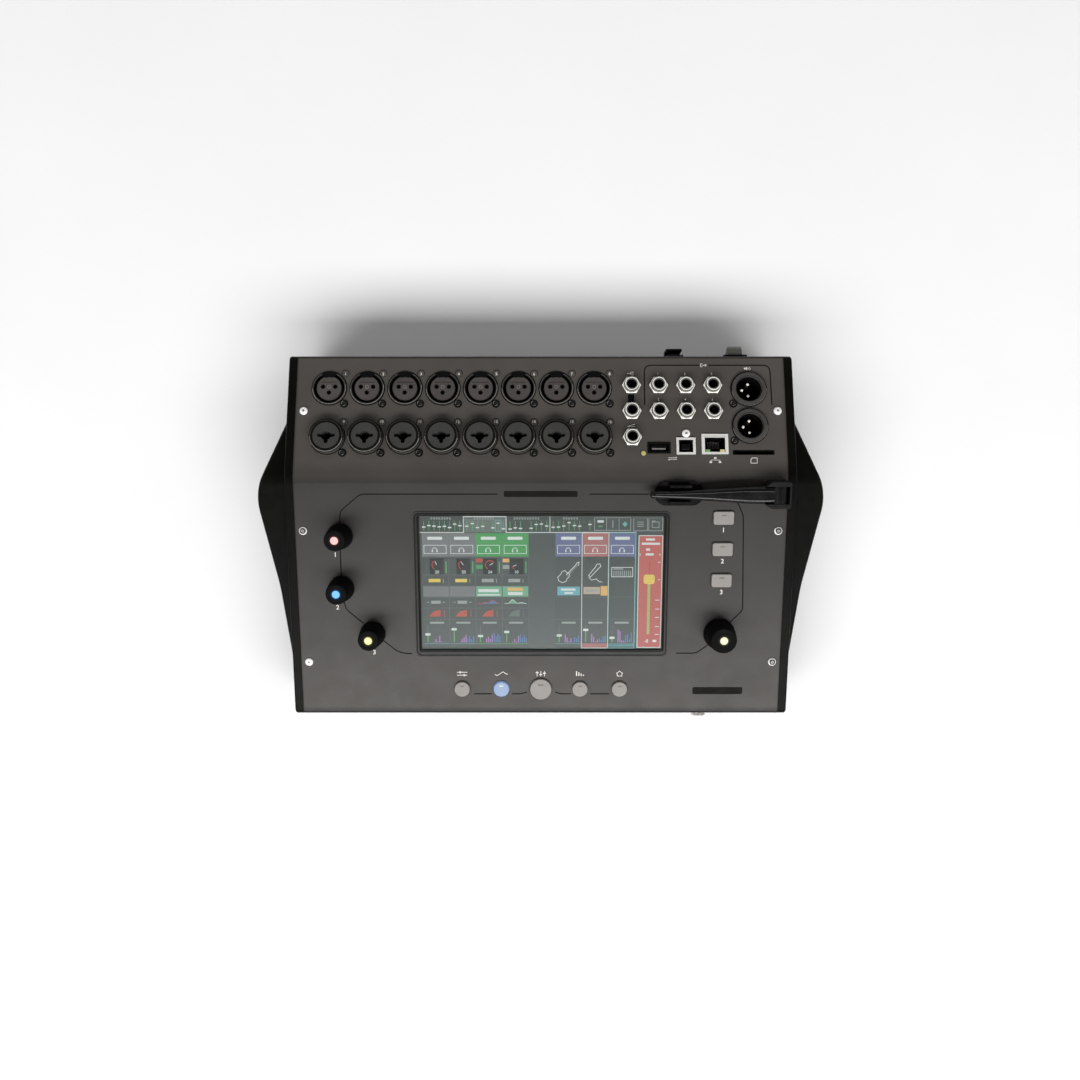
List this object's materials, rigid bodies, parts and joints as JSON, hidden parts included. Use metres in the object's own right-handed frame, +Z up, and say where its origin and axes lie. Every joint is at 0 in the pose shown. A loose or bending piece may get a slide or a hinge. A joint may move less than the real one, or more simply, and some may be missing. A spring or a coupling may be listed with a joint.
{
  "type": "digital audio mixer",
  "caption": "Wedge-shaped table-top control desk with a touch screen, lit knobs, press keys, rows of round sockets, grip wings and a fold-up antenna.",
  "frame": {"origin": "on the surface the feet stand on, under the middle of the whole object", "axes": "+X to the user's right, +Y to the rear, +Z up"},
  "size_m": [0.3646, 0.2474, 0.0846],
  "materials": {
    "antenna_blade": "gloss",
    "antenna_clip": "satin",
    "antenna_mount": "satin",
    "antenna_pin": "bright",
    "base_screws": "satin",
    "base_tray": "satin",
    "board_standoffs": "bright",
    "cable_hook": "satin",
    "card_reader": "matte",
    "combo_socket_inserts": "matte",
    "combo_socket_shells": "matte",
    "control_board": "satin",
    "display_panel": "gloss",
    "encoder_bodies": "matte",
    "encoder_nuts": "bright",
    "headphone_jack": "matte",
    "heat_sink": "matte",
    "jack_bodies": "matte",
    "jack_nuts": "brushed",
    "key_switches": "matte",
    "left_cheek": "satin",
    "lit_shaft_1": "emissive",
    "lit_shaft_2": "emissive",
    "lit_shaft_3": "emissive",
    "lit_shaft_4": "emissive",
    "main_board": "satin",
    "main_knob": "soft touch",
    "main_output_pins": "polished",
    "main_output_shells": "satin",
    "mic_socket_inserts": "matte",
    "mic_socket_shells": "matte",
    "mode_button_1": "satin",
    "mode_button_2": "satin",
    "mode_button_3": "satin",
    "mode_button_4": "satin",
    "mode_button_5": "satin",
    "network_insert": "matte",
    "network_shield": "bright",
    "panel_screws": "bright",
    "power_inlet": "satin",
    "power_rocker": "satin",
    "power_switch_housing": "satin",
    "ribbon_cable": "satin",
    "right_cheek": "satin",
    "rubber_feet": "matte",
    "screen_bezel": "satin",
    "socket_board": "satin",
    "socket_screws": "satin",
    "soft_key_1": "satin",
    "soft_key_2": "satin",
    "soft_key_3": "satin",
    "soft_knob_1": "soft touch",
    "soft_knob_2": "soft touch",
    "soft_knob_3": "soft touch",
    "status_led": "emissive",
    "top_panel": "satin",
    "touch_glass": "polished",
    "usb_a_socket": "matte",
    "usb_b_insert": "matte",
    "usb_b_shield": "bright"
  },
  "bodies": {
    "case": {"antenna_clip": "antenna_clip", "antenna_mount": "antenna_mount", "antenna_pin": "antenna_pin", "base_screws": "base_screws", "base_tray": "base_tray", "board_standoffs": "board_standoffs", "cable_hook": "cable_hook", "card_reader": "card_reader", "combo_socket_inserts": "combo_socket_inserts", "combo_socket_shells": "combo_socket_shells", "control_board": "control_board", "display_panel": "display_panel", "encoder_bodies": "encoder_bodies", "encoder_nuts": "encoder_nuts", "headphone_jack": "headphone_jack", "heat_sink": "heat_sink", "jack_bodies": "jack_bodies", "jack_nuts": "jack_nuts", "key_switches": "key_switches", "left_cheek": "left_cheek", "main_board": "main_board", "main_output_pins": "main_output_pins", "main_output_shells": "main_output_shells", "mic_socket_inserts": "mic_socket_inserts", "mic_socket_shells": "mic_socket_shells", "network_insert": "network_insert", "network_shield": "network_shield", "panel_screws": "panel_screws", "power_inlet": "power_inlet", "power_switch_housing": "power_switch_housing", "ribbon_cable": "ribbon_cable", "right_cheek": "right_cheek", "rubber_feet": "rubber_feet", "screen_bezel": "screen_bezel", "socket_board": "socket_board", "socket_screws": "socket_screws", "status_led": "status_led", "top_panel": "top_panel", "touch_glass": "touch_glass", "usb_a_socket": "usb_a_socket", "usb_b_insert": "usb_b_insert", "usb_b_shield": "usb_b_shield"},
    "soft_knob_1": {"soft_knob_1": "soft_knob_1", "lit_shaft_1": "lit_shaft_1"},
    "soft_knob_2": {"soft_knob_2": "soft_knob_2", "lit_shaft_2": "lit_shaft_2"},
    "soft_knob_3": {"soft_knob_3": "soft_knob_3", "lit_shaft_3": "lit_shaft_3"},
    "main_knob": {"main_knob": "main_knob", "lit_shaft_4": "lit_shaft_4"},
    "soft_key_1": {"soft_key_1": "soft_key_1"},
    "soft_key_2": {"soft_key_2": "soft_key_2"},
    "soft_key_3": {"soft_key_3": "soft_key_3"},
    "mode_button_1": {"mode_button_1": "mode_button_1"},
    "mode_button_2": {"mode_button_2": "mode_button_2"},
    "mode_button_3": {"mode_button_3": "mode_button_3"},
    "mode_button_4": {"mode_button_4": "mode_button_4"},
    "mode_button_5": {"mode_button_5": "mode_button_5"},
    "power_rocker": {"power_rocker": "power_rocker"},
    "antenna": {"antenna_blade": "antenna_blade"}
  },
  "joints": [
    {"name": "soft_knob_1_turn", "type": "hinge", "parent": "case", "child": "soft_knob_1", "pos_m": [-0.1286, -0.0013, 0.06616], "axis": [0, -0.178, 0.984], "continuous": true},
    {"name": "soft_knob_2_turn", "type": "hinge", "parent": "case", "child": "soft_knob_2", "pos_m": [-0.1289, -0.03515, 0.06004], "axis": [0, -0.178, 0.984], "continuous": true},
    {"name": "soft_knob_3_turn", "type": "hinge", "parent": "case", "child": "soft_knob_3", "pos_m": [-0.1096, -0.06496, 0.05465], "axis": [0, -0.178, 0.984], "continuous": true},
    {"name": "main_knob_turn", "type": "hinge", "parent": "case", "child": "main_knob", "pos_m": [0.1166, -0.06496, 0.05465], "axis": [0, -0.178, 0.984], "continuous": true},
    {"name": "soft_key_1_press", "type": "slide", "parent": "case", "child": "soft_key_1", "axis": [0, 0.178, -0.984], "range_m": [0, 0.001], "stiffness_N_per_m": 1000, "springref_m": -0.0005},
    {"name": "soft_key_2_press", "type": "slide", "parent": "case", "child": "soft_key_2", "axis": [0, 0.178, -0.984], "range_m": [0, 0.001], "stiffness_N_per_m": 1000, "springref_m": -0.0005},
    {"name": "soft_key_3_press", "type": "slide", "parent": "case", "child": "soft_key_3", "axis": [0, 0.178, -0.984], "range_m": [0, 0.001], "stiffness_N_per_m": 1000, "springref_m": -0.0005},
    {"name": "mode_button_1_press", "type": "slide", "parent": "case", "child": "mode_button_1", "axis": [0, 0.178, -0.984], "range_m": [0, 0.001], "stiffness_N_per_m": 1000, "springref_m": -0.0005},
    {"name": "mode_button_2_press", "type": "slide", "parent": "case", "child": "mode_button_2", "axis": [0, 0.178, -0.984], "range_m": [0, 0.001], "stiffness_N_per_m": 1000, "springref_m": -0.0005},
    {"name": "mode_button_3_press", "type": "slide", "parent": "case", "child": "mode_button_3", "axis": [0, 0.178, -0.984], "range_m": [0, 0.001], "stiffness_N_per_m": 1000, "springref_m": -0.0005},
    {"name": "mode_button_4_press", "type": "slide", "parent": "case", "child": "mode_button_4", "axis": [0, 0.178, -0.984], "range_m": [0, 0.001], "stiffness_N_per_m": 1000, "springref_m": -0.0005},
    {"name": "mode_button_5_press", "type": "slide", "parent": "case", "child": "mode_button_5", "axis": [0, 0.178, -0.984], "range_m": [0, 0.001], "stiffness_N_per_m": 1000, "springref_m": -0.0005},
    {"name": "power_rocker_tip", "type": "hinge", "parent": "case", "child": "power_rocker", "pos_m": [0.1275, 0.1157, 0.045], "axis": [1, 0, 0], "range_deg": [0, 26]},
    {"name": "antenna_fold", "type": "hinge", "parent": "case", "child": "antenna", "pos_m": [0.15, 0.02452, 0.07795], "axis": [0, 0.984, 0.178], "range_deg": [0, 90]}
  ]
}
